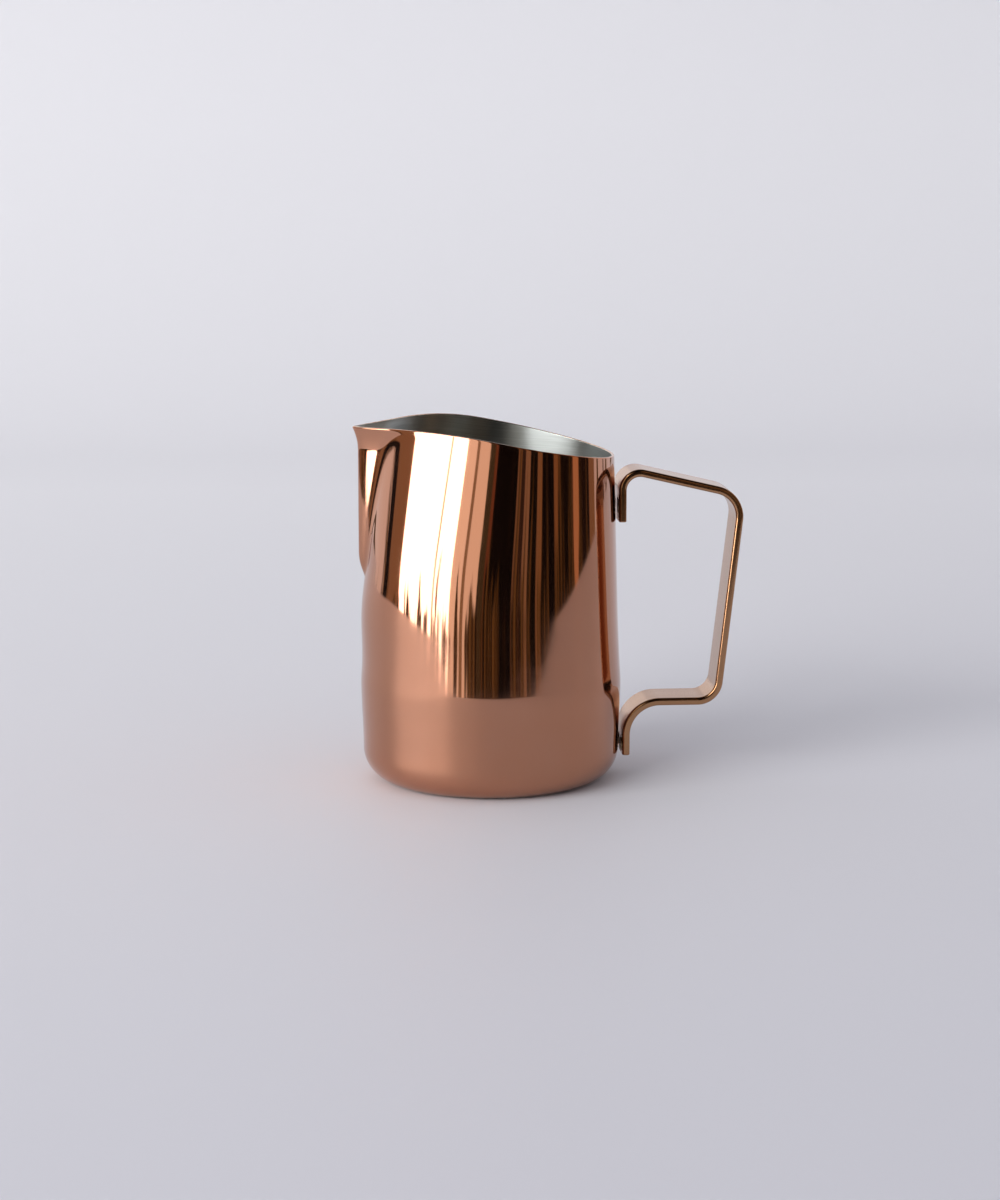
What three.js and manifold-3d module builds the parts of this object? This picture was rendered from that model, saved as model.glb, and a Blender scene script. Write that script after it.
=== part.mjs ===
// A slanted milk-frothing pitcher: a drawn steel cup with a V-shaped spout, and a flat strap handle
// spot-welded to its wall. Millimetres, +Z up, +X towards the handle, the spout at -X.
// The origin is on the table, on the axis of the round cup.

import * as THREE from "three";
import { mergeVertices } from "three/addons/utils/BufferGeometryUtils.js";
import Module from "manifold-3d";

// ---- Cup ----
const BASE_RADIUS = 39.5; // outside radius where the wall leaves the base corner
const BELLY_SWELL = 0.65; // how much wider the cup is at its belly
const BELLY_HEIGHT = 31; // height of that widest place
const HEIGHT = 110.5; // highest part of the rim
const RIM_DROP = 10.3; // how much lower the rim is beside the handle
const RIM_SLANT = 11.25; // degrees, fall of the rim towards the handle
const RIM_CREST_BLEND = 7; // softness of the change from the level crest to the slant
const TIP_DROP = 1.45; // how far the rim dips again from its crest to the tip of the spout
const TIP_DROP_LENGTH = 38; // length of that dip along the spout
const WALL = 0.9; // sheet thickness
const BASE_CORNER = 9.7; // outside radius between floor and wall
const TAPER = 0.028; // loss of radius per millimetre of height above the belly
const TAPER_BLEND = 1; // softness of the turn from the belly into the cone
const SHOULDER_DROP = 0.44; // further loss of radius on the shoulder just above the belly
const SHOULDER_HEIGHT = 24; // height of that shoulder

// ---- Spout ----
const SPOUT_DEPTH = 47.5; // from the crest of the rim down to the root of the spout
const ROOT_LENGTH = 8; // height of the rounded run-out at its root
const SPOUT_REACH = 1.75; // how far the upright ridge stands out from the wall at the root
const LIP_FLARE = 1.7; // extra reach of the lip at the rim
const LIP_FLARE_HEIGHT = 7; // height over which the lip flares
const FLANK_ANGLE_ROOT = 44; // degrees between a flank and the spout's centre plane, at the root
const FLANK_ANGLE_RIM = 47; // the same at the rim
const RIDGE_SOFTNESS = 0.035; // radians, rounding of the ridge
const CREASE_SOFTNESS = 1.5; // rounding of the crease between flank and cheek
const CHEEK_PRESS = 5; // how far the wall beside the spout is pressed in, at the rim
const CHEEK_BLEND = 7; // softness of the start of a cheek, at the height of the root
const CHEEK_CENTRE = 35; // degrees from the spout to the deepest part of a cheek
const CHEEK_SPREAD = 80; // degrees from there to where a cheek fades out
const FLANK_LIMIT = 60; // degrees, beyond which the flanks lie inside the cheeks
const BROW = 0.8; // swell of the wall under the root
const BROW_BELOW_ROOT = 11; // from the root down to the middle of the swell
const BROW_HEIGHT = 17; // from there to where the swell fades out, up and down
const BROW_SPREAD = 40; // degrees from the spout to where the swell fades out sideways

// ---- Handle ----
const STRAP_WIDTH = 15.8;
const STRAP_THICKNESS = 2.35;
const STRAP_EDGE = 0.8; // rounding of the bar's long edges
const FOOT_GAP = 0.3; // clearance between the upper foot's flat face and the wall behind it
const FOOT_BELOW_RIM = 20.3; // lower end of the upper foot, below the low side of the rim
const ARM_BELOW_RIM = 3.9; // corner of the upper bend, below the low side of the rim
const ARM_FALL = 13.15; // degrees, fall of the upper arm away from the cup
const HANDLE_REACH = 36.45; // from the belly out to the upper corner of the grip
const GRIP_LEAN = 6.4; // degrees, lean of the grip towards the cup on its way down
const LOWER_ARM_HEIGHT = 23.85;
const LOWER_FOOT_END = 7.2; // height of the lower foot's end
const UPPER_BEND = 5.3; // radii of the four bends, at the middle of the bar's thickness
const UPPER_CORNER = 8.6;
const LOWER_CORNER = 6.6;
const LOWER_BEND = 10.4;

// ---- Spot welds ----
const WELD_RADIUS = 2;
const WELD_SPACING = 8; // between the two welds of a foot
const WELD_SEAT = 0.9; // depth of a weld's seat in the foot
const WELD_GAP = 0.3; // clearance all round a weld

// ---- Fineness of the faceted surfaces ----
const CUP_SEGMENTS = 90;
const SPOUT_CROWDING = 0.45; // share by which the facets are narrower at the spout
const CORNER_STEPS = 6;
const LOWER_WALL_STEPS = 6;
const ROOT_STEPS = 3;
const UPPER_WALL_STEPS = 6;
const SLOPE_STEP = 0.01; // radians, for measuring how the wall turns away from round
const BEND_STEPS = 9;
const EDGE_STEPS = 3;
const WELD_SIDES = 24;

const COPPER = { color: 0xb87a5c, roughness: 0.12, metalness: 1 };
const STEEL = { color: 0xa9a9a4, roughness: 0.3, metalness: 1 };

const radians = THREE.MathUtils.degToRad;

// ---- Shape of the cup ----

const BELLY_RADIUS = BASE_RADIUS + BELLY_SWELL;

/** Zero below 0 and equal to x above it, with a rounded corner of the given size. */
function softRamp(x, blend) {
  return (x + Math.hypot(x, blend)) / 2;
}

/** The larger of two values, with a rounded corner where they differ by less than the blend. */
function softMax(a, b, blend) {
  const nearness = Math.max(0, 1 - Math.abs(a - b) / blend);
  return Math.max(a, b) + (blend / 4) * nearness ** 2;
}

/** Outside radius of the round cup, before the spout is formed. */
function roundRadius(z) {
  const swell = THREE.MathUtils.smoothstep(z, BASE_CORNER, BELLY_HEIGHT);
  const untilCone = 1 - THREE.MathUtils.clamp((z - BELLY_HEIGHT) / SHOULDER_HEIGHT, 0, 1);
  const below = THREE.MathUtils.lerp(BASE_RADIUS, BELLY_RADIUS, swell);
  return below - SHOULDER_DROP * (1 - untilCone ** 2) - TAPER * softRamp(z - BELLY_HEIGHT, TAPER_BLEND);
}

const LOW_RIM = HEIGHT - RIM_DROP;
const SPOUT_ROOT = HEIGHT - SPOUT_DEPTH;
const RIM_SLOPE = Math.tan(radians(RIM_SLANT));
const CREST_X = roundRadius(LOW_RIM) - RIM_DROP / RIM_SLOPE;
const TIP_X = -(roundRadius(SPOUT_ROOT) + SPOUT_REACH + LIP_FLARE);

/** Height of the rim at a distance x towards the handle. */
function rimHeight(x) {
  const slant = RIM_SLOPE * softRamp(x - CREST_X, RIM_CREST_BLEND);
  const towardsTip = Math.max(0, TIP_X + TIP_DROP_LENGTH - x) / TIP_DROP_LENGTH;
  return HEIGHT - slant - TIP_DROP * towardsTip ** 2;
}

/** How far the wall has risen from the spout's root to the rim, 0 to 1. */
function spoutRise(z) {
  return THREE.MathUtils.clamp((z - SPOUT_ROOT) / SPOUT_DEPTH, 0, 1);
}

/** One at the centre of a spread and falling smoothly to zero at its ends. */
function bell(x, centre, spread) {
  const offCentre = (x - centre) / spread;
  return Math.abs(offCentre) < 1 ? (1 + Math.cos(Math.PI * offCentre)) / 2 : 0;
}

/** Swell of the wall under the root, at an angle from the spout's centre plane. */
function brow(angle, z) {
  const upDown = bell(z, SPOUT_ROOT - BROW_BELOW_ROOT, BROW_HEIGHT);
  return BROW * upDown * bell(angle, 0, radians(BROW_SPREAD));
}

/** Radius of the wall beside and below the spout, where its cheeks are pressed in. */
function cheekRadius(angle, z) {
  const rise = softRamp(z - SPOUT_ROOT, CHEEK_BLEND) / softRamp(SPOUT_DEPTH, CHEEK_BLEND);
  return roundRadius(z) - CHEEK_PRESS * rise * bell(angle, radians(CHEEK_CENTRE), radians(CHEEK_SPREAD));
}

/** Distance of the spout's ridge from the axis. */
function ridgeReach(z) {
  const root = THREE.MathUtils.clamp((z - SPOUT_ROOT) / ROOT_LENGTH, 0, 1);
  const lip = THREE.MathUtils.clamp(1 - (rimHeight(TIP_X) - z) / LIP_FLARE_HEIGHT, 0, 1);
  const runOut = SPOUT_REACH * (2 * Math.sqrt(1 - (1 - root) ** 2) - 1);
  return roundRadius(SPOUT_ROOT) + runOut + LIP_FLARE * lip ** 2;
}

/** Radius of the wedge that the two flanks of the spout make. */
function flankRadius(angle, z) {
  const openness = THREE.MathUtils.lerp(FLANK_ANGLE_ROOT, FLANK_ANGLE_RIM, spoutRise(z));
  const facing = Math.PI / 2 - radians(openness);
  const rounded = Math.hypot(angle, RIDGE_SOFTNESS);
  return ridgeReach(z) * Math.cos(facing - RIDGE_SOFTNESS) / Math.cos(facing - rounded);
}

/** Outside radius of the finished cup at an angle from the spout's centre plane. */
function cupRadius(angle, z) {
  const cheek = cheekRadius(angle, z) + brow(angle, z);
  if (z <= SPOUT_ROOT || angle > radians(FLANK_LIMIT)) return cheek;
  return softMax(flankRadius(angle, z), cheek, CREASE_SOFTNESS);
}

/** Radius of the cup's sheet at a depth below its outside face. */
function sheetRadius(angle, z, depth) {
  const radius = cupRadius(angle, z);
  const ahead = cupRadius(angle + SLOPE_STEP, z);
  const behind = cupRadius(Math.abs(angle - SLOPE_STEP), z);
  const slope = (ahead - behind) / (2 * SLOPE_STEP * radius);
  return radius - depth * Math.hypot(1, slope);
}

/** Point of the floor or of the corner around it: turn runs from 0 on the floor to a quarter turn. */
function cornerPoint(turn, depth) {
  const bend = BASE_CORNER - depth;
  const centre = roundRadius(BASE_CORNER) - BASE_CORNER;
  return { radius: centre + bend * Math.sin(turn), z: BASE_CORNER - bend * Math.cos(turn) };
}

/** Point of the wall at a height, which the rim limits. */
function wallPoint(angle, z, depth) {
  return { radius: sheetRadius(angle, z, depth), z };
}

/** One side of the sheet from the middle of the base to the rim: each row gives a point at an angle. */
function sheetRows(depth) {
  const rows = [() => ({ radius: 0, z: depth })];
  for (let i = 0; i <= CORNER_STEPS; i++) {
    const turn = (Math.PI / 2) * (i / CORNER_STEPS);
    rows.push(() => cornerPoint(turn, depth));
  }
  for (let i = 1; i <= LOWER_WALL_STEPS; i++) {
    const z = THREE.MathUtils.lerp(BASE_CORNER, SPOUT_ROOT, i / LOWER_WALL_STEPS);
    rows.push((angle) => wallPoint(angle, z, depth));
  }
  for (let i = 1; i <= ROOT_STEPS; i++) {
    const z = SPOUT_ROOT + ROOT_LENGTH * (i / ROOT_STEPS) ** 2;
    rows.push((angle) => wallPoint(angle, z, depth));
  }
  for (let i = 1; i <= UPPER_WALL_STEPS; i++) {
    const share = i / UPPER_WALL_STEPS;
    rows.push((angle) => {
      const rim = rimHeight(-cupRadius(angle, HEIGHT) * Math.cos(angle));
      const z = THREE.MathUtils.lerp(SPOUT_ROOT + ROOT_LENGTH, rim, share);
      return wallPoint(angle, z, depth);
    });
  }
  return rows;
}

/** The cup: a lathe's closed ring of rows, each vertex then set where the formed sheet has it. */
function cupGeometry() {
  const rows = [...sheetRows(WALL), ...sheetRows(0).reverse()];
  const section = rows.map((row, i) => new THREE.Vector2(1, i));
  const geometry = new THREE.LatheGeometry(section, CUP_SEGMENTS);
  const position = geometry.attributes.position;
  for (let i = 0; i < position.count; i++) {
    const turn = (2 * Math.PI * Math.floor(i / rows.length)) / CUP_SEGMENTS - Math.PI;
    const around = turn - SPOUT_CROWDING * Math.sin(turn);
    const { radius, z } = rows[i % rows.length](Math.abs(around));
    position.setXYZ(i, -radius * Math.cos(around), radius * Math.sin(around), z);
  }
  return geometry;
}

// ---- Handle ----

const UPPER_FOOT_END = LOW_RIM - FOOT_BELOW_RIM;
const UPPER_FOOT_X = roundRadius(UPPER_FOOT_END) + FOOT_GAP + STRAP_THICKNESS / 2;
const LOWER_FOOT_X = BELLY_RADIUS + STRAP_THICKNESS / 2;
const GRIP_X = BELLY_RADIUS + HANDLE_REACH;

/** Corners of the bar's middle line, from the upper foot's end to the lower foot's, with their bends. */
function handleCorners() {
  const bendHeight = LOW_RIM - ARM_BELOW_RIM;
  const gripHeight = bendHeight - (GRIP_X - UPPER_FOOT_X) * Math.tan(radians(ARM_FALL));
  const lowerX = GRIP_X - (gripHeight - LOWER_ARM_HEIGHT) * Math.tan(radians(GRIP_LEAN));
  return [
    { at: new THREE.Vector2(UPPER_FOOT_X, UPPER_FOOT_END), bend: 0 },
    { at: new THREE.Vector2(UPPER_FOOT_X, bendHeight), bend: UPPER_BEND },
    { at: new THREE.Vector2(GRIP_X, gripHeight), bend: UPPER_CORNER },
    { at: new THREE.Vector2(lowerX, LOWER_ARM_HEIGHT), bend: LOWER_CORNER },
    { at: new THREE.Vector2(LOWER_FOOT_X, LOWER_ARM_HEIGHT), bend: LOWER_BEND },
    { at: new THREE.Vector2(LOWER_FOOT_X, LOWER_FOOT_END), bend: 0 },
  ];
}

/** Points of the middle line through one bend, each with the normal to its left. */
function bendPoints(before, corner, after, radius) {
  const arriving = corner.clone().sub(before).normalize();
  const leaving = after.clone().sub(corner).normalize();
  const turn = Math.atan2(arriving.cross(leaving), arriving.dot(leaving));
  const setback = radius * Math.tan(Math.abs(turn) / 2);
  const start = corner.clone().addScaledVector(arriving, -setback);
  const left = new THREE.Vector2(-arriving.y, arriving.x);
  const centre = start.clone().addScaledVector(left, radius * Math.sign(turn));
  const points = [];
  for (let i = 0; i <= BEND_STEPS; i++) {
    const part = (turn * i) / BEND_STEPS;
    const at = start.clone().rotateAround(centre, part);
    const normal = left.clone().rotateAround(new THREE.Vector2(), part);
    points.push({ at, normal });
  }
  return points;
}

/** The whole middle line of the bar as points with normals. */
function handleLine() {
  const corners = handleCorners();
  const first = { at: corners[0].at, normal: new THREE.Vector2(-1, 0) };
  const last = { at: corners.at(-1).at, normal: new THREE.Vector2(1, 0) };
  const bends = corners.slice(1, -1).flatMap((corner, i) =>
    bendPoints(corners[i].at, corner.at, corners[i + 2].at, corner.bend));
  return [first, ...bends, last];
}

/** The bar seen from the side, drawn smaller by the rounding that its bevel adds. */
function strapOutline() {
  const line = handleLine();
  const half = STRAP_THICKNESS / 2;
  const offset = (side) => line.map(({ at, normal }) => at.clone().addScaledVector(normal, side * half));
  return new THREE.Shape([...offset(1), ...offset(-1).reverse()]);
}

/** The bent bar, without its weld seats. */
function strapGeometry() {
  const geometry = new THREE.ExtrudeGeometry(strapOutline(), {
    depth: STRAP_WIDTH - 2 * STRAP_EDGE,
    bevelThickness: STRAP_EDGE,
    bevelSize: STRAP_EDGE,
    bevelOffset: -STRAP_EDGE,
    bevelSegments: EDGE_STEPS,
  });
  geometry.translate(0, 0, STRAP_EDGE - STRAP_WIDTH / 2);
  geometry.rotateX(Math.PI / 2);
  return geometry;
}

// ---- Spot welds ----

/** Height of the middle of a foot's straight part, between its end and its bend. */
function footMiddle(end, corner, bend, turn) {
  return (end + corner - bend * Math.tan(turn / 2)) / 2;
}

/** Both feet: where their flat face stands and how high their welds are. */
const FEET = {
  upper: {
    face: UPPER_FOOT_X - STRAP_THICKNESS / 2,
    z: footMiddle(UPPER_FOOT_END, LOW_RIM - ARM_BELOW_RIM, UPPER_BEND, Math.PI / 2 + radians(ARM_FALL)),
  },
  lower: {
    face: LOWER_FOOT_X - STRAP_THICKNESS / 2,
    z: footMiddle(LOWER_FOOT_END, LOWER_ARM_HEIGHT, LOWER_BEND, Math.PI / 2),
  },
};

/** A cylinder along X, from one x to another, centred on the given y and z. */
function pegGeometry(radius, fromX, toX, y, z) {
  const geometry = new THREE.CylinderGeometry(radius, radius, toX - fromX, WELD_SIDES);
  geometry.rotateZ(Math.PI / 2);
  geometry.translate((fromX + toX) / 2, y, z);
  return geometry;
}

/** The four welds: a name, the weld's own solid and the seat that it needs in the foot. */
function welds() {
  return Object.entries(FEET).flatMap(([foot, { face, z }]) => {
    const wall = Math.max(roundRadius(z - WELD_RADIUS), roundRadius(z + WELD_RADIUS));
    return [["left", -1], ["right", 1]].map(([hand, side]) => {
      const y = (side * WELD_SPACING) / 2;
      return {
        name: `${foot}_weld_${hand}`,
        solid: pegGeometry(WELD_RADIUS, wall + WELD_GAP, face + WELD_SEAT - WELD_GAP, y, z),
        seat: pegGeometry(WELD_RADIUS + WELD_GAP, face - WELD_SEAT, face + WELD_SEAT, y, z),
      };
    });
  });
}

// ---- Solids ----

const wasm = await Module();
wasm.setup();

/** A closed geometry as a solid that can be cut. */
function toSolid(geometry) {
  const bare = geometry.clone();
  bare.deleteAttribute("normal");
  bare.deleteAttribute("uv");
  const merged = mergeVertices(bare);
  return new wasm.Manifold(new wasm.Mesh({
    numProp: 3,
    vertProperties: merged.attributes.position.array,
    triVerts: new Uint32Array(merged.index.array),
  }));
}

/** A solid as a geometry again. */
function toGeometry(solid) {
  const mesh = solid.getMesh();
  const geometry = new THREE.BufferGeometry();
  geometry.setAttribute("position", new THREE.BufferAttribute(mesh.vertProperties, 3));
  geometry.setIndex(new THREE.BufferAttribute(mesh.triVerts, 1));
  geometry.computeVertexNormals();
  return geometry;
}

/** The bar with its weld seats cut in. */
function seatedStrap(spotWelds) {
  const seats = spotWelds.map(({ seat }) => toSolid(seat));
  return toGeometry(seats.reduce((bar, seat) => bar.subtract(seat), toSolid(strapGeometry())));
}

function named(name, geometry, look) {
  const mesh = new THREE.Mesh(geometry, new THREE.MeshStandardMaterial(look));
  mesh.name = name;
  return mesh;
}

const pitcher = new THREE.Group();
const spotWelds = welds();
pitcher.add(named("pitcher_body", cupGeometry(), COPPER));
pitcher.add(named("handle_strap", seatedStrap(spotWelds), COPPER));
for (const { name, solid } of spotWelds) {
  pitcher.add(named(name, solid, STEEL));
}

export default pitcher;
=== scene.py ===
"""A slanted milk-frothing pitcher on a pale table: its cup, its strap handle, its spot welds and the studio.

Sizes are in metres and angles in radians, +Z up, +X towards the handle, the spout at -X.
The origin is on the table, under the middle of the round base.
"""

import math

import bmesh
import bpy
from bpy.props import FloatProperty, FloatVectorProperty, IntProperty, PointerProperty
from mathutils import Matrix, Vector


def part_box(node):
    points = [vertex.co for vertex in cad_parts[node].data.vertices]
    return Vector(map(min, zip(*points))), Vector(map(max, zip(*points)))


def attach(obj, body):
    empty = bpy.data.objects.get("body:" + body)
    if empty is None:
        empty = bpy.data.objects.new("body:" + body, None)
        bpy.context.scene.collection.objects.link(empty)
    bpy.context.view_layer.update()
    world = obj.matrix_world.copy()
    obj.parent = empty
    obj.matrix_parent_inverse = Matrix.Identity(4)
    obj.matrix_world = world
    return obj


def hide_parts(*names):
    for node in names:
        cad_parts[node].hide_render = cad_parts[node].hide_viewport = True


bl_info = {
    "name": "Frothing Pitcher",
    "version": (1, 0, 0),
    "blender": (4, 5, 0),
    "location": "View3D > Sidebar > Pitcher",
    "description": "Builds a copper-coated milk-frothing pitcher and the studio around it",
    "category": "Object",
}

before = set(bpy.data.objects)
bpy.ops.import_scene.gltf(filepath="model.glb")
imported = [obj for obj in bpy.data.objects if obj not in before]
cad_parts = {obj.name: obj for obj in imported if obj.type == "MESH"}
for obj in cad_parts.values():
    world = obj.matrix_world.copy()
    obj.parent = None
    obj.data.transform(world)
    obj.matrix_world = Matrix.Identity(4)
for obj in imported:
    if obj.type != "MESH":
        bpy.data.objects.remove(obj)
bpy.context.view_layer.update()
CUP_LOW, CUP_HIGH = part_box("pitcher_body")
STRAP_LOW, STRAP_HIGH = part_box("handle_strap")
WELDS = sorted(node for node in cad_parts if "weld" in node)

MM = 0.001
MICRON = 1e-6
UP = Vector((0, 0, 1))


# ---- Settings ----


def length(name, description, default):
    """A size in metres that the panel shows."""
    return FloatProperty(name=name, description=description, default=default, unit="LENGTH", precision=5)


def angle(name, description, degrees):
    """An angle that the panel shows in degrees."""
    return FloatProperty(name=name, description=description, default=math.radians(degrees), subtype="ANGLE")


def share(name, description, default):
    """A number from 0 to 1."""
    return FloatProperty(name=name, description=description, default=default, min=0, max=1, subtype="FACTOR")


def colour(name, description, default):
    """A linear colour."""
    return FloatVectorProperty(name=name, description=description, default=default, size=3, subtype="COLOR")


class CupSettings(bpy.types.PropertyGroup):
    """Sizes and colours of the drawn cup."""

    belly_radius: length("Belly radius", "Widest outside radius", CUP_HIGH.y)
    belly_height: length("Belly height", "Height of the widest place", 31 * MM)
    base_inset: length("Base inset", "How much narrower the wall is at the base corner", 0.65 * MM)
    base_corner: length("Base corner", "Outside radius between floor and wall", 9.7 * MM)
    taper: FloatProperty(name="Taper", description="Loss of radius for each metre of height", default=0.028)
    taper_blend: length("Taper blend", "Softness of the turn from belly to cone", 1 * MM)
    shoulder_drop: length("Shoulder drop", "Further loss of radius just above the belly", 0.44 * MM)
    shoulder_height: length("Shoulder height", "Height over which the shoulder falls", 24 * MM)
    wall: length("Wall", "Sheet thickness", 0.9 * MM)
    edge_round: length("Edge rounding", "Rounding of the two edges of the rim", 0.28 * MM)
    crest: length("Crest", "Height of the line that the rim follows", 110.5 * MM)
    rim_drop: length("Rim drop", "How much lower the rim is beside the handle", 10.3 * MM)
    rim_slant: angle("Rim slant", "Fall of the rim towards the handle", 11.25)
    crest_blend: length("Crest blend", "Softness of the change from crest to slant", 14 * MM)
    tip_drop: length("Tip drop", "How far the rim dips from its crest to the tip", 1.45 * MM)
    tip_drop_length: length("Tip drop length", "Length of that dip along the spout", 38 * MM)
    tip_reach: length("Tip reach", "Distance of the spout's tip from the axis", -CUP_LOW.x)
    spout_depth: length("Spout depth", "From the crest down to the root of the spout", 47.5 * MM)
    root_length: length("Root length", "Height of the rounded run-out at the root", 8 * MM)
    spout_reach: length("Spout reach", "How far the ridge stands out at the root", 1.75 * MM)
    lip_flare: length("Lip flare", "Extra reach of the lip at the rim", 1.7 * MM)
    lip_height: length("Lip height", "Height over which the lip flares", 7 * MM)
    flank_at_root: angle("Flank at root", "Between a flank and the centre plane, at the root", 44)
    flank_at_rim: angle("Flank at rim", "Between a flank and the centre plane, at the rim", 47)
    ridge_softness: angle("Ridge softness", "Half angle over which the ridge is rounded", 2)
    crease_softness: length("Crease softness", "Rounding of the crease beside a flank", 1.5 * MM)
    cheek_press: length("Cheek press", "How far the wall beside the spout is pressed in", 5 * MM)
    cheek_blend: length("Cheek blend", "Softness of the start of a cheek", 14 * MM)
    cheek_centre: angle("Cheek centre", "From the spout to the deepest part of a cheek", 35)
    cheek_spread: angle("Cheek spread", "From there to where a cheek fades out", 80)
    flank_limit: angle("Flank limit", "Beyond it the flanks lie inside the cheeks", 48)
    brow: length("Brow", "Swell of the wall under the root", 0.8 * MM)
    brow_below_root: length("Brow below root", "From the root down to the middle of the swell", 11 * MM)
    brow_height: length("Brow height", "From there to where the swell fades out", 17 * MM)
    brow_spread: angle("Brow spread", "From the spout to where the swell fades out", 40)
    columns: IntProperty(name="Columns", description="Faces around the cup", default=280, min=24)
    crowding: share("Crowding", "Share by which the faces are narrower at the spout", 0.55)
    coat: colour("Coat", "Colour that the copper coat reflects", (0.50, 0.24, 0.15))
    steel: colour("Steel", "Colour that the bare steel reflects", (0.46, 0.48, 0.47))


class HandleSettings(bpy.types.PropertyGroup):
    """Sizes of the bent bar and the fit of the welds."""

    width: length("Width", "Width of the bar", STRAP_HIGH.y - STRAP_LOW.y)
    thickness: length("Thickness", "Thickness of the bar", 2.35 * MM)
    edge_round: length("Edge rounding", "Rounding of the bar's long edges", 0.85 * MM)
    end_round: length("End rounding", "Rounding of the bar's two ends", 0.35 * MM)
    upper_foot: length("Upper foot", "Height of the upper foot's end", 79.9 * MM)
    lower_foot_face: length("Lower foot face", "Distance of the lower foot's face from the axis", 40.15 * MM)
    arm_fall: angle("Arm fall", "Fall of the upper arm away from the cup", 13.15)
    grip_lean: angle("Grip lean", "Lean of the grip towards the cup on its way down", 6.4)
    lower_arm: length("Lower arm", "Height of the lower arm", 23.85 * MM)
    upper_bend: length("Upper bend", "Radius of the bend above the upper foot", 5.3 * MM)
    upper_corner: length("Upper corner", "Radius of the grip's upper corner", 8.6 * MM)
    lower_corner: length("Lower corner", "Radius of the grip's lower corner", 6.6 * MM)
    lower_bend: length("Lower bend", "Radius of the bend above the lower foot", 10.4 * MM)
    weld_gap: length("Weld gap", "Clearance between a weld and its seat", 0.3 * MM)
    coat: colour("Coat", "Colour that the bar's coat reflects", (0.44, 0.24, 0.125))


class StageSettings(bpy.types.PropertyGroup):
    """Table, light and camera."""

    # Both paper colours are painted light and shade: the table colour is painted shade at the front and high
    # on the backdrop, and the backdrop colour is painted light at the back.
    table: colour("Table", "Colour of the table in front", (0.56, 0.56, 0.615))
    backdrop: colour("Backdrop", "Colour of the sheet where it rises behind the table", (0.86, 0.86, 0.89))
    table_x: length("Table x", "Middle of the round table, towards the handle", 0.0)
    table_y: length("Table y", "Middle of the round table, away from the camera", 0.31)
    table_radius: length("Table radius", "Radius of the round table", 0.69)
    sheet_front: length("Sheet front", "From the cup's axis to the front end of the sheet", 2.4)
    sheet_back: length("Sheet back", "From the axis back to where the sheet starts to rise", 0.85)
    sweep_radius: length("Sweep radius", "Radius of the rise into the backdrop", 0.7)
    half_width: length("Half width", "Half of the sheet's width", 2.4)
    screen_distance: length("Screen distance", "From the cup's axis to the screen that it mirrors", 1.5)
    sky_strength: FloatProperty(name="Sky", description="Strength of the light from all round", default=0.60)
    window_energy: FloatProperty(
        name="Window", description="Power of the soft light", default=52, subtype="POWER")
    camera_distance: length("Camera distance", "From the cup's axis, along the table", 0.8653)
    camera_height: length("Camera height", "Above the table", 0.2046)
    camera_azimuth: angle("Camera azimuth", "Camera's place, from -Y towards the spout", 4.288)
    camera_turn: angle("Camera turn", "Direction of view, from +Y towards the handle", 4.476)
    camera_dip: angle("Camera dip", "Direction of view, below level", 9.8)
    lens: FloatProperty(name="Lens", description="Focal length in millimetres", default=85.6)


# ---- Materials ----

# Fine lines that run round the axis stretch a highlight across themselves.
BRUSHED = {"Anisotropic": 0.9, "Anisotropic Rotation": 0.25}

# The coat is mirror bright above the belly, and keeps more of its polishing haze below.
HAZE_FROM, HAZE_TO = 22 * MM, 36 * MM
HAZE_BELOW, HAZE_ABOVE = 0.13, 0.015
HAZE_ROUGHNESS = 0.36

# How fine each pattern is, in cells of noise for each metre.
SMUDGE_CELLS = 55
MARK_CELLS = 420
WAVE_CELLS = 60
STAIN_CELLS = 70
SCALE_CELLS = 700
GRAIN_CELLS = 900
CLOUD_CELLS = 3

# How fine turned lines are, along themselves and across.
POLISHING_ALONG, POLISHING_ACROSS = 40, 6000
BRUSHING_ALONG, BRUSHING_ACROSS = 60, 2600

WORN_COPPER = (0.56, 0.33, 0.25)
WATER_STAIN = (0.42, 0.44, 0.38)
# Partly the thin coat's own colour at the cut edge, partly a painted highlight along the rim.
BARE_EDGE_AND_HIGHLIGHT = (0.86, 0.72, 0.56)
HEAT_TINTS = (
    (0.30, (0.52, 0.50, 0.46)),
    (0.48, (0.62, 0.46, 0.26)),
    (0.66, (0.30, 0.33, 0.42)),
)


class Value:
    """A number socket of a material that can stand in an expression."""

    def __init__(self, recipe, socket):
        self.recipe = recipe
        self.socket = socket

    def joined(self, operation, first, second):
        """The result of a Math node on two values."""
        made = self.recipe.node("ShaderNodeMath", {"operation": operation}, {0: first, 1: second})
        return Value(self.recipe, made.outputs[0])

    def __add__(self, other):
        return self.joined("ADD", self, other)

    def __radd__(self, other):
        return self.joined("ADD", other, self)

    def __sub__(self, other):
        return self.joined("SUBTRACT", self, other)

    def __rsub__(self, other):
        return self.joined("SUBTRACT", other, self)

    def __mul__(self, other):
        return self.joined("MULTIPLY", self, other)

    def __rmul__(self, other):
        return self.joined("MULTIPLY", other, self)

    def __pow__(self, other):
        return self.joined("POWER", self, other)


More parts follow.
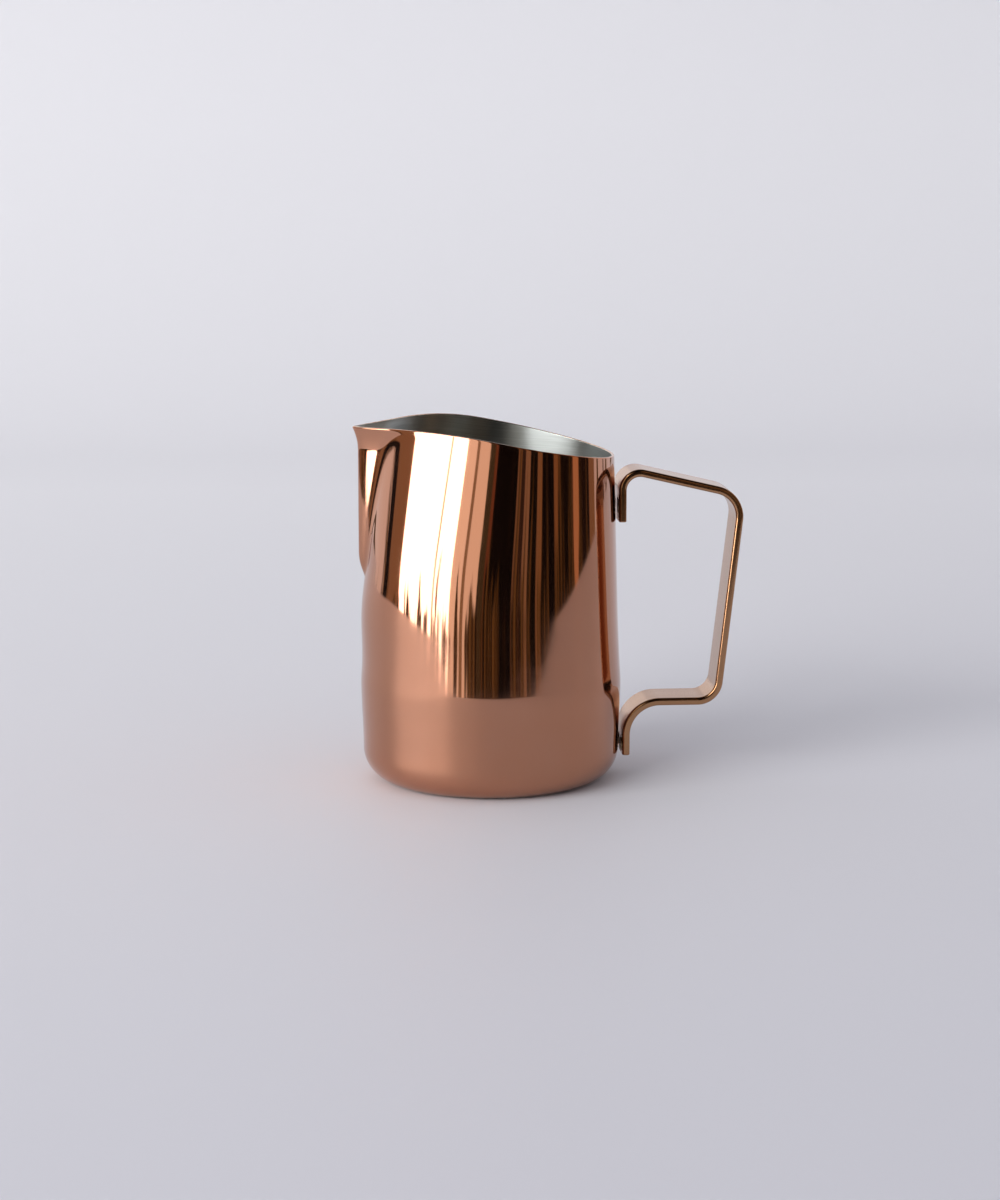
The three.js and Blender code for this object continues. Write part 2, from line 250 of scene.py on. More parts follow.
class Recipe:
    """A material that is written as expressions."""

    def __init__(self, name):
        self.material = bpy.data.materials.new(name)
        self.material.use_nodes = True
        self.tree = self.material.node_tree
        self.tree.nodes.clear()

    def node(self, kind, settings, inputs):
        """One node: its settings are set first, then the values or links of its sockets."""
        made = self.tree.nodes.new(kind)
        for key, value in settings.items():
            if key == "stops":
                set_stops(made.color_ramp, value)
            else:
                setattr(made, key, value)
        for key, value in inputs.items():
            self.feed(self.socket_of(made, key), value)
        return made

    def socket_of(self, made, key):
        """An input by its number, its identifier or its name."""
        if isinstance(key, int):
            return made.inputs[key]
        exact = [socket for socket in made.inputs if socket.identifier == key]
        return exact[0] if exact else made.inputs[key]

    def feed(self, socket, value):
        """Links or sets one input."""
        if isinstance(value, Value):
            value = value.socket
        if isinstance(value, bpy.types.NodeSocket):
            self.tree.links.new(value, socket)
        elif socket.type == "RGBA":
            socket.default_value = (*value, 1)
        else:
            socket.default_value = value

    def place(self):
        """The three parts of the place on the object, in metres."""
        where = self.node("ShaderNodeTexCoord", {}, {})
        parts = self.node("ShaderNodeSeparateXYZ", {}, {0: where.outputs["Object"]})
        return [Value(self, part) for part in parts.outputs]

    def noise(self, parts, scale, detail, roughness):
        """Noise from 0 to 1 over three coordinates."""
        vector = self.node("ShaderNodeCombineXYZ", {}, dict(enumerate(parts)))
        made = self.node("ShaderNodeTexNoise", {}, {
            "Vector": vector.outputs[0], "Scale": scale, "Detail": detail, "Roughness": roughness})
        return Value(self, made.outputs["Fac"])

    def spread(self, value, low, high, to_low, to_high):
        """A value moved from one range to another, without leaving it."""
        made = self.node("ShaderNodeMapRange", {}, {0: value, 1: low, 2: high, 3: to_low, 4: to_high})
        return Value(self, made.outputs[0])

    def blend(self, factor, first, second):
        """A colour between two colours, which is the third output of a Mix node."""
        made = self.node("ShaderNodeMix", {"data_type": "RGBA"}, {
            "Factor_Float": factor, "A_Color": first, "B_Color": second})
        return made.outputs[2]

    def bump(self, height, distance):
        """A normal from a height between 0 and 1, which stands for a distance in metres."""
        made = self.node("ShaderNodeBump", {}, {"Strength": 1, "Distance": distance, "Height": height})
        return made.outputs[0]

    def metal(self, inputs, haze=None):
        """Ends the material in a metal, of which a share may be hazy across fine polishing lines."""
        shader = self.node("ShaderNodeBsdfPrincipled", {}, {"Metallic": 1.0, **inputs})
        if haze is not None:
            hazy_inputs = {"Metallic": 1.0, **inputs, **BRUSHED, "Roughness": HAZE_ROUGHNESS}
            hazy = self.node("ShaderNodeBsdfPrincipled", {}, hazy_inputs)
            shader = self.node("ShaderNodeMixShader", {}, {0: haze, 1: shader.outputs[0], 2: hazy.outputs[0]})
        self.node("ShaderNodeOutputMaterial", {}, {"Surface": shader.outputs[0]})
        return self.material


def set_stops(ramp, stops):
    """Gives a colour ramp its stops, each a place and a colour."""
    while len(ramp.elements) < len(stops):
        ramp.elements.new(1)
    for element, (place, tone) in zip(ramp.elements, stops):
        element.position = place
        element.color = (*tone, 1)


def lighter(tone, amount):
    """A colour times a number."""
    return tuple(min(1, part * amount) for part in tone)


def turned_lines(recipe, along, across):
    """Fine lines around the axis, as a lathe leaves them, on walls and floors alike."""
    x, y, z = recipe.place()
    radius = (x * x + y * y) ** 0.5
    return recipe.noise([x * along, y * along, (z + radius) * across], 1, 4, 0.6)


def copper_coat(name, tone, roughness, waviness):
    """A polished, copper-coloured coat with faint smudges, polishing lines and handling marks, and painted
    shade low down that gives way to painted light towards the top.
    """
    recipe = Recipe(name)
    x, y, z = recipe.place()
    cloud = recipe.noise([x, y, z], SMUDGE_CELLS, 3, 0.55)
    marks = recipe.noise([x, y * 2, z * 5], MARK_CELLS, 5, 0.65)
    lines = turned_lines(recipe, POLISHING_ALONG, POLISHING_ACROSS)
    smudge = recipe.spread(cloud, 0.45, 0.75, 0, 1)
    speck = recipe.spread(marks, 0.62, 0.78, 0, 1)
    # Painted shade and light: the coat's colour runs from 3% darker at the base to 3% lighter at the top.
    upwards = recipe.spread(z + 0.01 * cloud, 0, 0.12, 0, 1)
    painted_height_tone = recipe.blend(upwards, lighter(tone, 0.97), lighter(tone, 1.03))
    wavy = recipe.noise([x, y, z * 0.35], WAVE_CELLS, 1, 0.4)
    return recipe.metal({
        "Base Color": recipe.blend(0.10 * smudge, painted_height_tone, WORN_COPPER),
        "Roughness": roughness + 0.035 * smudge + 0.03 * speck + 0.02 * lines,
        "Normal": recipe.bump(wavy + 0.012 * lines, waviness),
    }, recipe.spread(z, HAZE_FROM, HAZE_TO, HAZE_BELOW, HAZE_ABOVE))


def brushed_steel(name, tone, roughness, depth):
    """Bare steel with brushing lines around the axis and faint water marks."""
    recipe = Recipe(name)
    x, y, z = recipe.place()
    lines = turned_lines(recipe, BRUSHING_ALONG, BRUSHING_ACROSS)
    stain = recipe.noise([x, y, z], STAIN_CELLS, 4, 0.6)
    shade = recipe.blend(recipe.spread(lines, 0.3, 0.7, 0, 1), lighter(tone, 0.86), lighter(tone, 1.1))
    return recipe.metal({
        "Base Color": recipe.blend(0.18 * stain, shade, WATER_STAIN),
        "Roughness": roughness + 0.12 * lines + 0.05 * stain,
        "Normal": recipe.bump(lines, depth),
        **BRUSHED,
    })


def cut_edge(name, tone):
    """The polished edge of the sheet along the rim, where the coat runs thin, with a painted highlight: its
    pale golden colour is brighter than bare steel.
    """
    recipe = Recipe(name)
    x, y, z = recipe.place()
    grain = recipe.noise([x, y, z], GRAIN_CELLS, 3, 0.6)
    return recipe.metal({
        "Base Color": recipe.blend(recipe.spread(grain, 0.35, 0.65, 0, 1), tone, BARE_EDGE_AND_HIGHLIGHT),
        "Roughness": 0.16 + 0.1 * grain,
        "Normal": recipe.bump(grain, 4 * MICRON),
    })


def weld_steel(name):
    """Steel with the straw and blue tints that a weld's heat leaves."""
    recipe = Recipe(name)
    x, y, z = recipe.place()
    scale = recipe.noise([x, y, z], SCALE_CELLS, 4, 0.6)
    heat = recipe.node("ShaderNodeValToRGB", {"stops": HEAT_TINTS}, {0: scale})
    return recipe.metal({
        "Base Color": heat.outputs[0],
        "Roughness": 0.28 + 0.25 * scale,
        "Normal": recipe.bump(scale, 20 * MICRON),
    })


def paper_with_painted_falloff(name, shaded_tone, far):
    """Pale, matt paper with painted shade, darker towards the front and towards the top, and painted light,
    lighter towards the back, with the least trace of grain and gloss.
    """
    recipe = Recipe(name)
    x, y, z = recipe.place()
    cloud = recipe.noise([x, y, z], CLOUD_CELLS, 2, 0.5)
    grain = recipe.noise([x, y, z], GRAIN_CELLS, 3, 0.6)
    # Painted shade at the front and painted light at the back: the paper's colour runs from the table colour
    # near the camera to the backdrop colour behind.
    tone = recipe.blend(recipe.spread(y + 0.04 * cloud, -0.5, 0.7, 0, 1), shaded_tone, far)
    shader = recipe.node("ShaderNodeBsdfPrincipled", {}, {
        # Painted shade high up: the colour turns back towards the table colour with height.
        "Base Color": recipe.blend(recipe.spread(z, 0.2, 1.6, 0, 0.8), tone, shaded_tone),
        "Roughness": 0.55 + 0.06 * grain,
        "Normal": recipe.bump(grain, 6 * MICRON),
        "Specular IOR Level": 0.25,
    })
    recipe.node("ShaderNodeOutputMaterial", {}, {"Surface": shader.outputs[0]})
    return recipe.material


# ---- Meshes ----

MERGE_DISTANCE = MICRON
BEVEL_SEGMENTS = 3
NORMAL_WEIGHT = 80  # how far large faces rule the shading of their corners


def new_object(name, mesh_builder, materials):
    """An object at the origin from a bmesh that is already in place, smooth all over."""
    mesh = bpy.data.meshes.new(name)
    for face in mesh_builder.faces:
        face.smooth = True
    mesh_builder.to_mesh(mesh)
    mesh_builder.free()
    for material in materials:
        mesh.materials.append(material)
    made = bpy.data.objects.new(name, mesh)
    bpy.context.scene.collection.objects.link(made)
    return made


def modifier(target, kind, **settings):
    """Adds one modifier with its settings."""
    made = target.modifiers.new(kind.title(), kind)
    for key, value in settings.items():
        setattr(made, key, value)
    return made


def softened(piece, width, sharpest):
    """Rounds the edges that turn by more than an angle, and lets the large faces rule the shading."""
    modifier(piece, "BEVEL", width=width, segments=BEVEL_SEGMENTS, limit_method="ANGLE", angle_limit=sharpest)
    modifier(piece, "WEIGHTED_NORMAL", keep_sharp=False, weight=NORMAL_WEIGHT)


def stands_for(piece, node):
    """The piece rides on the root and replaces a node."""
    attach(piece, "root")
    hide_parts(node)


def clamp(value):
    """A value kept from 0 to 1."""
    return max(0.0, min(1.0, value))


def mix(first, second, part):
    """A number between two others."""
    return first + (second - first) * part


def ease(value, low, high):
    """From 0 at low to 1 at high, level at both ends."""
    part = clamp((value - low) / (high - low))
    return part * part * (3 - 2 * part)


def soft_ramp(x, blend):
    """Zero below -blend, x above +blend, and a parabola between."""
    part = max(0.0, min(2 * blend, x + blend))
    return part * part / (4 * blend) + max(0.0, x - blend)


def soft_max(first, second, blend):
    """The larger of two values, rounded where they differ by less than the blend."""
    nearness = max(0.0, 1 - abs(first - second) / blend)
    return max(first, second) + blend / 4 * nearness**2


def bell(x, centre, spread):
    """One at the centre of a spread and falling smoothly to zero at its ends."""
    off_centre = (x - centre) / spread
    return (1 + math.cos(math.pi * off_centre)) / 2 if abs(off_centre) < 1 else 0.0


class CupShape:
    """The outside of the formed cup, over the angle from the spout's centre plane and the height."""

    def __init__(self, sizes):
        self.sizes = sizes
        self.root = sizes.crest - sizes.spout_depth
        self.low_rim = sizes.crest - sizes.rim_drop
        self.slope = math.tan(sizes.rim_slant)
        self.crest_x = self.round_radius(self.low_rim) - sizes.rim_drop / self.slope
        self.tip_x = -sizes.tip_reach

    def round_radius(self, z):
        """Outside radius of the round cup, before the spout is formed."""
        s = self.sizes
        inset = s.base_inset * (1 - ease(z, s.base_corner, s.belly_height))
        until_cone = 1 - clamp((z - s.belly_height) / s.shoulder_height)
        shoulder = s.shoulder_drop * (1 - until_cone**2)
        return s.belly_radius - inset - shoulder - s.taper * soft_ramp(z - s.belly_height, s.taper_blend)

    def rim_height(self, x):
        """Height of the rim at a distance x towards the handle."""
        s = self.sizes
        slant = self.slope * soft_ramp(x - self.crest_x, s.crest_blend)
        towards_tip = max(0.0, self.tip_x + s.tip_drop_length - x) / s.tip_drop_length
        return s.crest - slant - s.tip_drop * towards_tip**2

    def cheek_radius(self, turn, z):
        """Radius of the wall beside and below the spout, with its cheeks and brow."""
        s = self.sizes
        rise = soft_ramp(z - self.root, s.cheek_blend) / s.spout_depth
        press = s.cheek_press * rise * bell(turn, s.cheek_centre, s.cheek_spread)
        swell = s.brow * bell(z, self.root - s.brow_below_root, s.brow_height) * bell(turn, 0, s.brow_spread)
        return self.round_radius(z) - press + swell

    def ridge_reach(self, z):
        """Distance of the spout's ridge from the axis."""
        s = self.sizes
        root = clamp((z - self.root) / s.root_length)
        lip = clamp(1 - (self.rim_height(self.tip_x) - z) / s.lip_height)
        run_out = s.spout_reach * (2 * math.sqrt(1 - (1 - root) ** 2) - 1)
        return self.round_radius(self.root) + run_out + s.lip_flare * lip**2

    def flank_radius(self, turn, z):
        """Radius of the wedge that the two flanks of the spout make."""
        s = self.sizes
        openness = mix(s.flank_at_root, s.flank_at_rim, clamp((z - self.root) / s.spout_depth))
        facing = math.pi / 2 - openness
        rounded = math.hypot(turn, s.ridge_softness)
        return self.ridge_reach(z) * math.cos(facing - s.ridge_softness) / math.cos(facing - rounded)

    def radius(self, turn, z):
        """Outside radius of the finished cup."""
        cheek = self.cheek_radius(turn, z)
        if z <= self.root or turn > self.sizes.flank_limit:
            return cheek
        return soft_max(self.flank_radius(turn, z), cheek, self.sizes.crease_softness)

    def formed(self, place):
        """Where a point of the round blank goes when the spout is formed and the rim is cut."""
        s = self.sizes
        turn = math.atan2(place.y, -place.x)
        around = turn - s.crowding * math.sin(turn)
        off = abs(around)
        z = place.z
        if z > self.root:
            rim = self.rim_height(-self.radius(off, s.crest) * math.cos(off))
            z = mix(self.root, rim, (z - self.root) / s.spout_depth)
        radius = self.radius(off, z) if z > s.base_corner else math.hypot(place.x, place.y)
        return Vector((-radius * math.cos(around), radius * math.sin(around), z))


# ---- Cup ----

FLOOR_RINGS = 6
CORNER_RINGS = 14
LOWER_WALL_RINGS = 44
UPPER_WALL_RINGS = 96
INSIDE, EDGE = 1, 2  # material slots of the cup, after the coat's
COAT_ROUGHNESS = 0.035
COAT_WAVES = 12 * MICRON
INSIDE_ROUGHNESS = 0.34
INSIDE_LINES = 2.5 * MICRON
RIM_TURN = math.radians(50)  # the least turn of the rim's two edges


def blank_profile(shape):
    """Half of the round blank's outline, from the middle of the base to the rim."""
    s = shape.sizes
    centre = shape.round_radius(s.base_corner) - s.base_corner
    points = [(centre * i / FLOOR_RINGS, 0) for i in range(FLOOR_RINGS)]
    for i in range(CORNER_RINGS + 1):
        turn = math.pi / 2 * i / CORNER_RINGS
        points.append((centre + s.base_corner * math.sin(turn), s.base_corner * (1 - math.cos(turn))))
    for i in range(1, LOWER_WALL_RINGS + 1):
        z = mix(s.base_corner, shape.root, i / LOWER_WALL_RINGS)
        points.append((shape.round_radius(z), z))
    for i in range(1, UPPER_WALL_RINGS + 1):
        z = mix(shape.root, s.crest, i / UPPER_WALL_RINGS)
        points.append((shape.round_radius(z), z))
    return points


def spun_profile(builder, points, steps):
    """Spins an outline of radii and heights once round the axis, and closes its seam and its pole."""
    verts = [builder.verts.new((-radius, 0, z)) for radius, z in points]
    edges = [builder.edges.new(pair) for pair in zip(verts, verts[1:])]
    bmesh.ops.spin(builder, geom=verts + edges, cent=(0, 0, 0), axis=UP, dvec=(0, 0, 0),
                   angle=2 * math.pi, steps=steps, use_merge=True, use_duplicate=False)
    bmesh.ops.remove_doubles(builder, verts=builder.verts, dist=MERGE_DISTANCE)
    bmesh.ops.recalc_face_normals(builder, faces=builder.faces)


class PITCHER_OT_cup(bpy.types.Operator):
    """Build the drawn cup with its spout, its slanted rim and its bare steel inside."""

    bl_idname = "pitcher.cup"
    bl_label = "Cup"

    def execute(self, context):
        sizes = context.scene.pitcher_cup
        shape = CupShape(sizes)
        builder = bmesh.new()
        spun_profile(builder, blank_profile(shape), sizes.columns)
        for vert in builder.verts:
            vert.co = shape.formed(vert.co)
        coat = copper_coat("copper_coat", sizes.coat, COAT_ROUGHNESS, COAT_WAVES)
        inside = brushed_steel("brushed_inside", sizes.steel, INSIDE_ROUGHNESS, INSIDE_LINES)
        cup = new_object("cup", builder, [coat, inside, cut_edge("rim_edge", sizes.coat)])
        modifier(cup, "SOLIDIFY", thickness=sizes.wall, offset=-1, use_even_offset=True,
                 use_quality_normals=True, material_offset=INSIDE, material_offset_rim=EDGE)
        softened(cup, sizes.edge_round, RIM_TURN)
        stands_for(cup, "pitcher_body")
        return {"FINISHED"}


# ---- Handle ----

BEND_STEPS = 28
EDGE_SEGMENTS = 6
SEAT_SIDES = 48
STRAP_ROUGHNESS = 0.14
STRAP_WAVES = 8 * MICRON
END_TURN = math.radians(60)  # the least turn of the edges round the bar's two ends


def bar_corners(sizes):
    """Corners of the bar's middle line with the radius of each bend, from foot to foot."""
    half = sizes.thickness / 2
    fall, lean = sizes.arm_fall, sizes.grip_lean
    foot_x = STRAP_LOW.x + half
    first_turn = math.pi / 2 + fall
    bend_z = STRAP_HIGH.z - half - sizes.upper_bend * (1 - math.tan(first_turn / 2))
    second_turn = math.pi / 2 + lean - fall
    set_in = math.cos(fall) * math.tan(second_turn / 2) + math.sin(fall)
    grip_x = STRAP_HIGH.x - half - sizes.upper_corner * (1 - set_in)
    grip_z = bend_z - (grip_x - foot_x) * math.tan(fall)
    lower_x = grip_x - (grip_z - sizes.lower_arm) * math.tan(lean)
    lower_foot_x = sizes.lower_foot_face + half
    return [
        (Vector((foot_x, 0, sizes.upper_foot)), 0),
        (Vector((foot_x, 0, bend_z)), sizes.upper_bend),
        (Vector((grip_x, 0, grip_z)), sizes.upper_corner),
        (Vector((lower_x, 0, sizes.lower_arm)), sizes.lower_corner),
        (Vector((lower_foot_x, 0, sizes.lower_arm)), sizes.lower_bend),
        (Vector((lower_foot_x, 0, STRAP_LOW.z)), 0),
    ]


def bar_section(builder, sizes, place):
    """The outline of the bar's section, level and centred on a place."""
    made = bmesh.ops.create_grid(builder, x_segments=1, y_segments=1, size=0.5)
    bmesh.ops.scale(builder, vec=(sizes.thickness, sizes.width, 1), verts=made["verts"])
    bmesh.ops.bevel(builder, geom=made["verts"], offset=sizes.edge_round, segments=EDGE_SEGMENTS,
                    profile=0.5, affect="VERTICES", material=-1)
    bmesh.ops.delete(builder, geom=list(builder.faces), context="FACES_ONLY")
    bmesh.ops.translate(builder, vec=place, verts=builder.verts)
    return list(builder.edges)


def pulled(builder, outline, step):
    """Extrudes an outline straight on and returns its new end."""
    made = bmesh.ops.extrude_edge_only(builder, edges=outline)["geom"]
    verts = [part for part in made if isinstance(part, bmesh.types.BMVert)]
    bmesh.ops.translate(builder, vec=step, verts=verts)
    return [part for part in made if isinstance(part, bmesh.types.BMEdge)]


def turned(builder, outline, centre, axis, turn, steps):
    """Extrudes an outline round an axis and returns its new end."""
    verts = list({vert for edge in outline for vert in edge.verts})
    made = bmesh.ops.spin(builder, geom=verts + outline, cent=centre, axis=axis, dvec=(0, 0, 0),
                          angle=turn, steps=steps, use_merge=False, use_duplicate=False)["geom_last"]
    return [part for part in made if isinstance(part, bmesh.types.BMEdge)]


def bent_bar(builder, sizes):
    """The whole bar, pulled and bent from the upper foot's end to the lower foot's."""
    corners = bar_corners(sizes)
    here = corners[0][0]
    outline = bar_section(builder, sizes, here)
    for (before, _), (corner, radius), (after, _) in zip(corners, corners[1:], corners[2:]):
        arriving = (corner - before).normalized()
        leaving = (after - corner).normalized()
        turn = math.atan2(arriving.cross(leaving).y, arriving.dot(leaving))
        setback = radius * math.tan(abs(turn) / 2)
        start = corner - arriving * setback
        outline = pulled(builder, outline, start - here)
        side = Vector((0, math.copysign(1, turn), 0)).cross(arriving)
        outline = turned(builder, outline, start + side * radius, Vector((0, 1, 0)), turn, BEND_STEPS)
        here = corner + leaving * setback
    pulled(builder, outline, corners[-1][0] - here)
    bmesh.ops.remove_doubles(builder, verts=builder.verts, dist=MERGE_DISTANCE)
    bmesh.ops.holes_fill(builder, edges=builder.edges, sides=0)
    bmesh.ops.recalc_face_normals(builder, faces=builder.faces)


def weld_seats(sizes):
    """The solids that are cut out of the feet for the welds."""
    builder = bmesh.new()
    for weld in WELDS:
        low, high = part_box(weld)
        start = low.x - sizes.thickness
        end = high.x + sizes.weld_gap
        place = Matrix.Translation(((start + end) / 2, (low.y + high.y) / 2, (low.z + high.z) / 2))
        radius = (high.y - low.y) / 2 + sizes.weld_gap
        along_x = Matrix.Rotation(math.pi / 2, 4, "Y")
        bmesh.ops.create_cone(builder, cap_ends=True, segments=SEAT_SIDES, radius1=radius, radius2=radius,
                              depth=end - start, matrix=place @ along_x)
    return new_object("weld_seats", builder, [])


def cut_away(target, cutter):
    """Cuts one object out of another for good, and removes the cutter."""
    cut = modifier(target, "BOOLEAN", object=cutter, operation="DIFFERENCE", solver="EXACT")
    result = bpy.data.meshes.new_from_object(target.evaluated_get(bpy.context.evaluated_depsgraph_get()))
    target.modifiers.remove(cut)
    target.data = result
    bpy.data.objects.remove(cutter)


class PITCHER_OT_handle(bpy.types.Operator):
    """Build the strap handle as one bent bar with rounded edges."""

    bl_idname = "pitcher.handle"
    bl_label = "Handle"

    def execute(self, context):
        sizes = context.scene.pitcher_handle
        builder = bmesh.new()
        bent_bar(builder, sizes)
        coat = copper_coat("copper_strap", sizes.coat, STRAP_ROUGHNESS, STRAP_WAVES)
        strap = new_object("strap_handle", builder, [coat])
        cut_away(strap, weld_seats(sizes))
        softened(strap, sizes.end_round, END_TURN)
        stands_for(strap, "handle_strap")
        return {"FINISHED"}


# ---- Welds ----


class PITCHER_OT_welds(bpy.types.Operator):
    """Give the four spot welds their heat-tinted steel."""

    bl_idname = "pitcher.welds"
    bl_label = "Welds"

    def execute(self, context):
        steel = weld_steel("weld_steel")
        for weld in WELDS:
            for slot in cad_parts[weld].material_slots:
                slot.material = steel
        return {"FINISHED"}


# ---- Stage ----

ARC_STEPS = 24
SCREEN_STEPS = 96
TABLE_SIDES = 180
TABLE_SINK = 0.05 * MM  # how far the table top lies under the cup's base
SHEET_SINK = 0.15 * MM  # how far the sheet lies under it
SCREEN_LOW, SCREEN_HIGH = -1.2, 1.6

WINDOW_WIDTH, WINDOW_HEIGHT = 1.8, 1.1
WINDOW_PLACE = Vector((-1.75, -1.45, 0.85))
WINDOW_AIM = Vector((0, 0.1, 0.05))
WINDOW_COLOUR = (1.0, 0.985, 0.96)
SKY_COLOUR = (0.95, 0.95, 1.0)

SENSOR_WIDTH = 36  # in millimetres, like the focal length
NEAREST = 10 * MM  # the camera sees nothing that is nearer

# The shadows of plants on the screen: cells of noise for each radian and each metre of height.
LEAF_TURN, LEAF_RISE = 9, 2.2
STEM_TURN, STEM_RISE = 34, 0.35
LEAF_THINNING = 0.8  # how fast the leaves thin out, for each metre of height
LEAF_DARK, STEM_LIGHT = (0.004, 0.003, 0.002), (0.20, 0.13, 0.05)

# What the cup mirrors in front of it, as painted reflections of the window and the room on a screen that
# glows though it is no lamp:
# each strip starts at an angle from the camera towards the spout, and runs to the next one's start.
# Brightness and colour are those of each strip's plain glow.
STRIPS = (
    (-180, (0.78, 0.77, 0.82)),
    (-106, (0.30, 0.20, 0.12)),
    (-98, (0.02, 0.012, 0.01)),
    (-84, (0.62, 0.36, 0.20)),
    (-77, (0.010, 0.007, 0.006)),
    (-63, (0.30, 0.17, 0.08)),
    (-55, (0.008, 0.006, 0.006)),
    (-42, (0.30, 0.19, 0.10)),
    (-36, (0.010, 0.008, 0.006)),
    (-27, (0.34, 0.24, 0.16)),
    (-22, (0.05, 0.03, 0.02)),
    (-18, (0.26, 0.17, 0.10)),
    (-13, (0.006, 0.005, 0.005)),
    (9, (0.22, 0.09, 0.05)),
    (12, (0.08, 0.07, 0.04)),
    (17, (1.3, 1.2, 1.08)),
    (29, (0.40, 0.30, 0.20)),
    (32, (1.5, 1.42, 1.3)),
    (41, (7.0, 7.0, 7.0)),
    (57, (1.6, 1.4, 1.2)),
    (58, (7.0, 7.0, 7.0)),
    (95, (0.36, 0.24, 0.15)),
    (111, (0.015, 0.012, 0.012)),
    (116, (1.0, 0.99, 1.02)),
)


def glowing_mirror_strips(name, strips):
    """Glowing strips round the axis, which start at angles from -Y towards -X, with plants in front."""
    recipe = Recipe(name)
    x, y, z = recipe.place()
    turn = x.joined("ARCTAN2", -1 * x, -1 * y)
    part = recipe.spread(turn, -math.pi, math.pi, 0, 1)
    stops = [((start + 180) / 360, tone) for start, tone in strips]
    ramp = recipe.node("ShaderNodeValToRGB", {"stops": stops}, {0: part})
    ramp.color_ramp.interpolation = "CONSTANT"
    leaves = recipe.noise([turn * LEAF_TURN, z * LEAF_RISE, 0], 1, 4, 0.6)
    tops = recipe.spread(leaves - LEAF_THINNING * z, 0.56, 0.60, 0, 1)
    stems = recipe.noise([turn * STEM_TURN, z * STEM_RISE, 0], 1, 3, 0.5)
    plants = recipe.blend(recipe.spread(stems, 0.44, 0.56, 0, 1), LEAF_DARK, STEM_LIGHT)
    # The strips glow though they are no lamp: painted reflections, bright where they stand for the window and
    # dark where they stand for the shaded room.
    glow = recipe.node("ShaderNodeEmission", {}, {
        "Color": recipe.blend(tops, ramp.outputs[0], plants), "Strength": 1})
    recipe.node("ShaderNodeOutputMaterial", {}, {"Surface": glow.outputs[0]})
    return recipe.material


def straight_edge(builder, first, second):
    """One edge between two points, as a list."""
    return [builder.edges.new((builder.verts.new(first), builder.verts.new(second)))]


def round_table(settings, material):
    """The round table top, which the cup mirrors."""
    builder = bmesh.new()
    place = Matrix.Translation((settings.table_x, settings.table_y, -TABLE_SINK))
    bmesh.ops.create_circle(
        builder, cap_ends=True, segments=TABLE_SIDES, radius=settings.table_radius, matrix=place)
    return new_object("table", builder, [material])


def backdrop(settings, material):
    """The sheet that carries the table's paper on, and sweeps up behind; the cup doesn't mirror it."""
    builder = bmesh.new()
    right = Vector((settings.half_width, -settings.sheet_front, -SHEET_SINK))
    left = Vector((-settings.half_width, -settings.sheet_front, -SHEET_SINK))
    depth = Vector((0, settings.sheet_front + settings.sheet_back, 0))
    edge = pulled(builder, straight_edge(builder, right, left), depth)
    centre = Vector((0, settings.sheet_back, settings.sweep_radius))
    edge = turned(builder, edge, centre, Vector((1, 0, 0)), math.pi / 2, ARC_STEPS)
    pulled(builder, edge, Vector((0, 0, settings.half_width)))
    made = new_object("backdrop", builder, [material])
    made.visible_glossy = False
    return made


def mirrored_screen(settings):
    """A round screen about the table that only mirrors see."""
    builder = bmesh.new()
    reach = settings.screen_distance
    spun_profile(builder, ((reach, SCREEN_LOW), (reach, SCREEN_HIGH)), SCREEN_STEPS)
    made = new_object("mirrored_screen", builder, [glowing_mirror_strips("glowing_mirror_strips", STRIPS)])
    made.visible_camera = False
    made.visible_diffuse = False
    made.visible_shadow = False
    return made


def soft_window(settings):
    """The large soft light at the front left."""
    data = bpy.data.lights.new("soft_window", "AREA")
    data.shape = "RECTANGLE"
    data.size = WINDOW_WIDTH
    data.size_y = WINDOW_HEIGHT
    data.energy = settings.window_energy
    data.color = WINDOW_COLOUR
    lamp = bpy.data.objects.new("soft_window", data)
    bpy.context.scene.collection.objects.link(lamp)
    lamp.location = WINDOW_PLACE
    lamp.rotation_euler = (WINDOW_AIM - WINDOW_PLACE).to_track_quat("-Z", "Y").to_euler()
    lamp.visible_camera = False
    lamp.visible_glossy = False


def all_round_light(settings):
    """Even pale light from everywhere, which mirrors don't show."""
    world = bpy.data.worlds.new("all_round_light")
    world.use_nodes = True
    background = world.node_tree.nodes["Background"]
    background.inputs["Color"].default_value = (*SKY_COLOUR, 1)
    background.inputs["Strength"].default_value = settings.sky_strength
    world.cycles_visibility.glossy = False
    bpy.context.scene.world = world


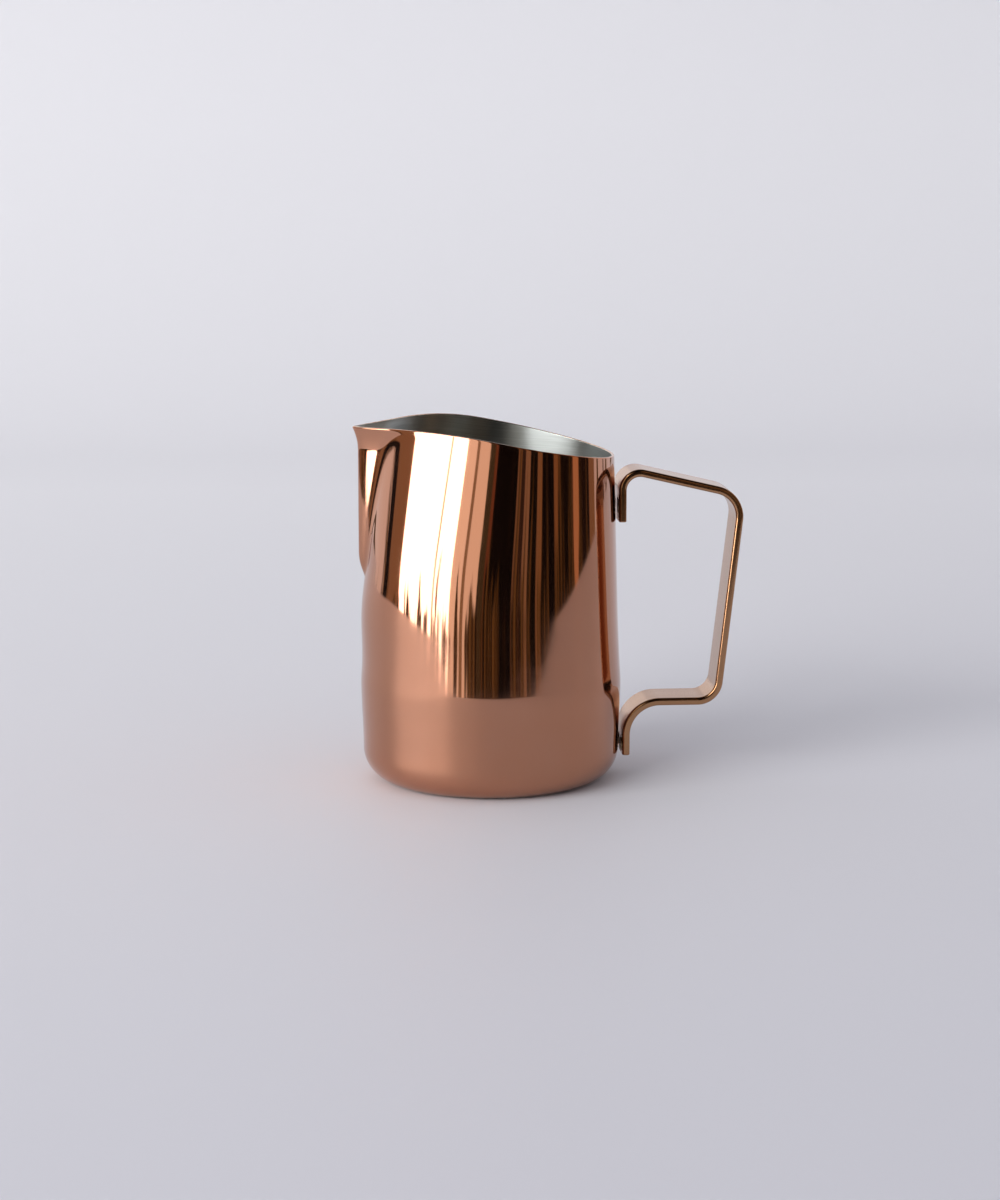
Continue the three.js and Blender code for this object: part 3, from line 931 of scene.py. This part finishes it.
def main_camera(settings):
    """The camera, level from side to side and looking slightly down at the cup."""
    data = bpy.data.cameras.new("camera")
    data.lens = settings.lens
    data.sensor_width = SENSOR_WIDTH
    data.clip_start = NEAREST
    camera = bpy.data.objects.new("camera", data)
    bpy.context.scene.collection.objects.link(camera)
    around = settings.camera_azimuth
    camera.location = (
        -settings.camera_distance * math.sin(around),
        -settings.camera_distance * math.cos(around),
        settings.camera_height,
    )
    camera.rotation_euler = (math.pi / 2 - settings.camera_dip, 0, -settings.camera_turn)
    bpy.context.scene.camera = camera


class PITCHER_OT_stage(bpy.types.Operator):
    """Build the table, the backdrop, the lights and the camera."""

    bl_idname = "pitcher.stage"
    bl_label = "Stage"

    def execute(self, context):
        settings = context.scene.pitcher_stage
        paper = paper_with_painted_falloff("paper_with_painted_falloff", settings.table, settings.backdrop)
        round_table(settings, paper)
        backdrop(settings, paper)
        mirrored_screen(settings)
        soft_window(settings)
        all_round_light(settings)
        main_camera(settings)
        context.scene.view_settings.view_transform = "Standard"
        return {"FINISHED"}


# ---- Add-on ----


class PITCHER_PT_panel(bpy.types.Panel):
    """Lists the steps that build the pitcher."""

    bl_idname = "PITCHER_PT_panel"
    bl_label = "Frothing Pitcher"
    bl_space_type = "VIEW_3D"
    bl_region_type = "UI"
    bl_category = "Pitcher"

    def draw(self, context):
        for step in STEPS:
            self.layout.operator(step.bl_idname)


STEPS = (PITCHER_OT_stage, PITCHER_OT_cup, PITCHER_OT_handle, PITCHER_OT_welds)
SETTINGS = {
    "pitcher_cup": CupSettings,
    "pitcher_handle": HandleSettings,
    "pitcher_stage": StageSettings,
}


def register():
    for group in (*SETTINGS.values(), *STEPS, PITCHER_PT_panel):
        bpy.utils.register_class(group)
    for name, group in SETTINGS.items():
        setattr(bpy.types.Scene, name, PointerProperty(type=group))


def unregister():
    for name in SETTINGS:
        delattr(bpy.types.Scene, name)
    for group in (PITCHER_PT_panel, *STEPS, *SETTINGS.values()):
        bpy.utils.unregister_class(group)


def main():
    register()
    bpy.ops.pitcher.stage()
    bpy.ops.pitcher.cup()
    bpy.ops.pitcher.handle()
    bpy.ops.pitcher.welds()


if __name__ == "__main__":
    main()
